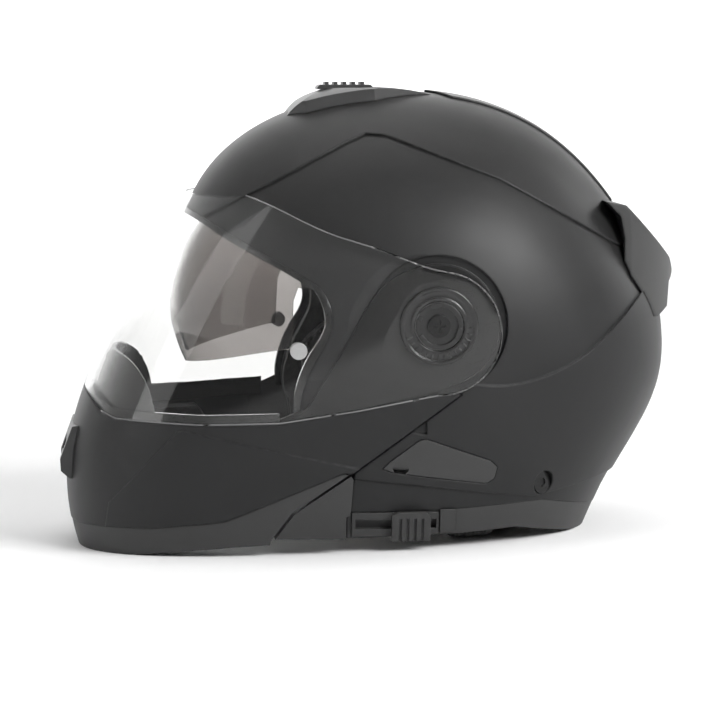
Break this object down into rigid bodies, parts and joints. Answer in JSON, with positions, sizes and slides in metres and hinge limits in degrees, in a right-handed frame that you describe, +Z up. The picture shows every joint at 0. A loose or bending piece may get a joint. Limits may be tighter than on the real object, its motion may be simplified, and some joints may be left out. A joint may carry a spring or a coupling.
{
  "type": "modular motorcycle helmet",
  "caption": "Flip-front motorcycle helmet: matte shell, clear visor and chin bar on side pivots, drop-down tinted sun visor, vents, lining and chin strap.",
  "frame": {"origin": "bottom centre of the bounding box of the closed helmet, on the surface it stands on", "axes": "+X towards the back of the head, +Y towards the wearer's right, +Z up"},
  "size_m": [0.3507, 0.2488, 0.2543],
  "materials": {
    "shell_paint": "matte black paint over moulded shell",
    "vent_plastic": "satin dark grey",
    "cover_plastic": "fine-grained black",
    "pivot_plastic": "polished black",
    "trim_rubber": "smooth black rubber",
    "clear_lens": "clear polished",
    "smoke_lens": "smoke tint, polished",
    "bare_steel": "brushed",
    "arm_plastic": "moulded black",
    "foam": "expanded foam, black",
    "lining_cloth": "knitted mesh over soft foam",
    "webbing": "woven band",
    "ratchet_plastic": "tough moulded nylon"
  },
  "bodies": {
    "shell_body": {"buckle_body": "bare_steel", "cheek_pad_left": "lining_cloth", "cheek_pad_right": "lining_cloth", "crown_pad": "lining_cloth", "crown_strip": "shell_paint", "eyeport_gasket": "trim_rubber", "foam_liner": "foam", "intercom_cover": "cover_plastic", "jaw_corner_left": "cover_plastic", "jaw_corner_right": "cover_plastic", "latch_catch_left": "bare_steel", "latch_catch_right": "bare_steel", "neck_roll": "lining_cloth", "neck_trim": "trim_rubber", "outer_shell": "shell_paint", "pivot_base_left": "pivot_plastic", "pivot_base_right": "pivot_plastic", "pivot_cap_left": "pivot_plastic", "pivot_cap_right": "pivot_plastic", "pivot_screw_left": "bare_steel", "pivot_screw_right": "bare_steel", "ratchet_tongue": "ratchet_plastic", "rear_screw_left": "bare_steel", "rear_screw_right": "bare_steel", "rear_spoiler": "shell_paint", "slider_rail": "cover_plastic", "slider_stop": "cover_plastic", "strap_anchor_left": "bare_steel", "strap_anchor_right": "bare_steel", "strap_left": "webbing", "strap_right": "webbing", "sun_visor_pin_left": "pivot_plastic", "sun_visor_pin_right": "pivot_plastic", "top_vent_housing": "vent_plastic"},
    "chin_bar_body": {"chin_bar": "shell_paint", "chin_arm_left": "arm_plastic", "chin_arm_right": "arm_plastic", "chin_skirt": "cover_plastic", "sill_seal": "trim_rubber", "chin_liner": "foam", "breath_guard": "pivot_plastic", "chin_vent": "vent_plastic", "release_housing": "cover_plastic", "latch_axle_left": "bare_steel", "latch_axle_right": "bare_steel"},
    "visor_body": {"visor": "clear_lens", "antifog_pin_left": "bare_steel", "antifog_pin_right": "bare_steel"},
    "sun_visor_body": {"sun_visor": "smoke_lens"},
    "sun_slider_body": {"slider_knob": "cover_plastic"},
    "top_slider_body": {"top_vent_slider": "vent_plastic"},
    "chin_shutter_body": {"chin_vent_shutter": "vent_plastic"},
    "release_body": {"release_button": "cover_plastic"},
    "hook_left_body": {"latch_hook_left": "bare_steel"},
    "hook_right_body": {"latch_hook_right": "bare_steel"},
    "lever_body": {"buckle_lever": "bare_steel"}
  },
  "joints": [
    {"name": "chin_bar_hinge", "type": "hinge", "parent": "shell_body", "child": "chin_bar_body", "pos_m": [0.0313, 0, 0.1226], "axis": [0, 1, 0], "range_deg": [0, 90]},
    {"name": "visor_hinge", "type": "hinge", "parent": "chin_bar_body", "child": "visor_body", "pos_m": [0.0313, 0, 0.1226], "axis": [0, 1, 0], "range_deg": [0, 50]},
    {"name": "sun_visor_hinge", "type": "hinge", "parent": "shell_body", "child": "sun_visor_body", "pos_m": [0.01094, 0, 0.11335], "axis": [0, 1, 0], "range_deg": [0, 40]},
    {"name": "sun_slider_slide", "type": "slide", "parent": "shell_body", "child": "sun_slider_body", "axis": [-0.999, -0.025, 0.037], "range_m": [0, 0.0201]},
    {"name": "top_vent_slide", "type": "slide", "parent": "shell_body", "child": "top_slider_body", "axis": [0.9993, 0, -0.037], "range_m": [0, 0.0055]},
    {"name": "chin_vent_slide", "type": "slide", "parent": "chin_bar_body", "child": "chin_shutter_body", "axis": [0.037, 0, 0.9993], "range_m": [0, 0.006]},
    {"name": "release_press", "type": "slide", "parent": "chin_bar_body", "child": "release_body", "axis": [0.037, 0, 0.9993], "range_m": [0, 0.004], "stiffness_N_per_m": 300},
    {"name": "hook_left_hinge", "type": "hinge", "parent": "chin_bar_body", "child": "hook_left_body", "pos_m": [-0.07959, -0.096, 0.04665], "axis": [0, -1, 0], "range_deg": [0, 15.1]},
    {"name": "hook_right_hinge", "type": "hinge", "parent": "chin_bar_body", "child": "hook_right_body", "pos_m": [-0.07959, 0.096, 0.04665], "axis": [0, -1, 0], "range_deg": [0, 15.1]},
    {"name": "buckle_lever_hinge", "type": "hinge", "parent": "shell_body", "child": "lever_body", "pos_m": [0.0493, -0.018, 0.0076], "axis": [1, 0, 0], "range_deg": [0, 45], "stiffness_Nm_per_rad": 0.02}
  ],
  "couplings": [
    {"joint": "sun_slider_slide", "follows": "sun_visor_hinge", "m_per_rad": 0.02865},
    {"joint": "hook_left_hinge", "follows": "release_press", "rad_per_m": 65.45},
    {"joint": "hook_right_hinge", "follows": "release_press", "rad_per_m": 65.45}
  ]
}
